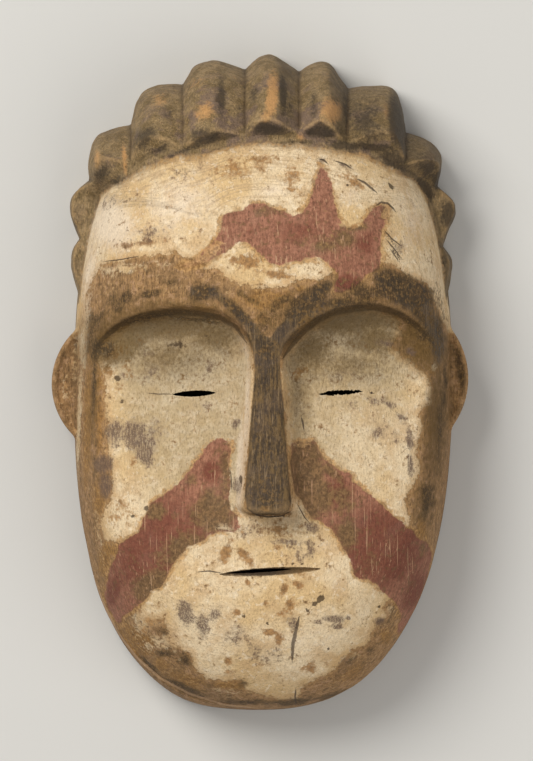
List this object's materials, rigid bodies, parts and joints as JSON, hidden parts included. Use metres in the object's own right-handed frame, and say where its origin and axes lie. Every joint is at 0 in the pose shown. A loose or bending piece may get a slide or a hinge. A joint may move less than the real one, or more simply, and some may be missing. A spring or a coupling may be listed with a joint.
{
  "type": "miniature carved face mask",
  "caption": "Hollow oval wooden mask: brows and a long nose in relief, slit eyes and mouth, half-round ears, wedge-shaped hair tufts.",
  "frame": {"origin": "centre of the flat back rim's bounding box, on the surface that the mask lies on", "axes": "+Y to the top of the head, +X to the viewer's right, +Z out of the face, straight up as the mask lies on its back"},
  "size_m": [0.114, 0.18, 0.062],
  "materials": {
    "painted_wood": "matt, worn white clay and red earth paint over light brown carved wood; dark brown on the hair and nose"
  },
  "bodies": {
    "root": {"mask": "painted_wood"}
  },
  "joints": []
}
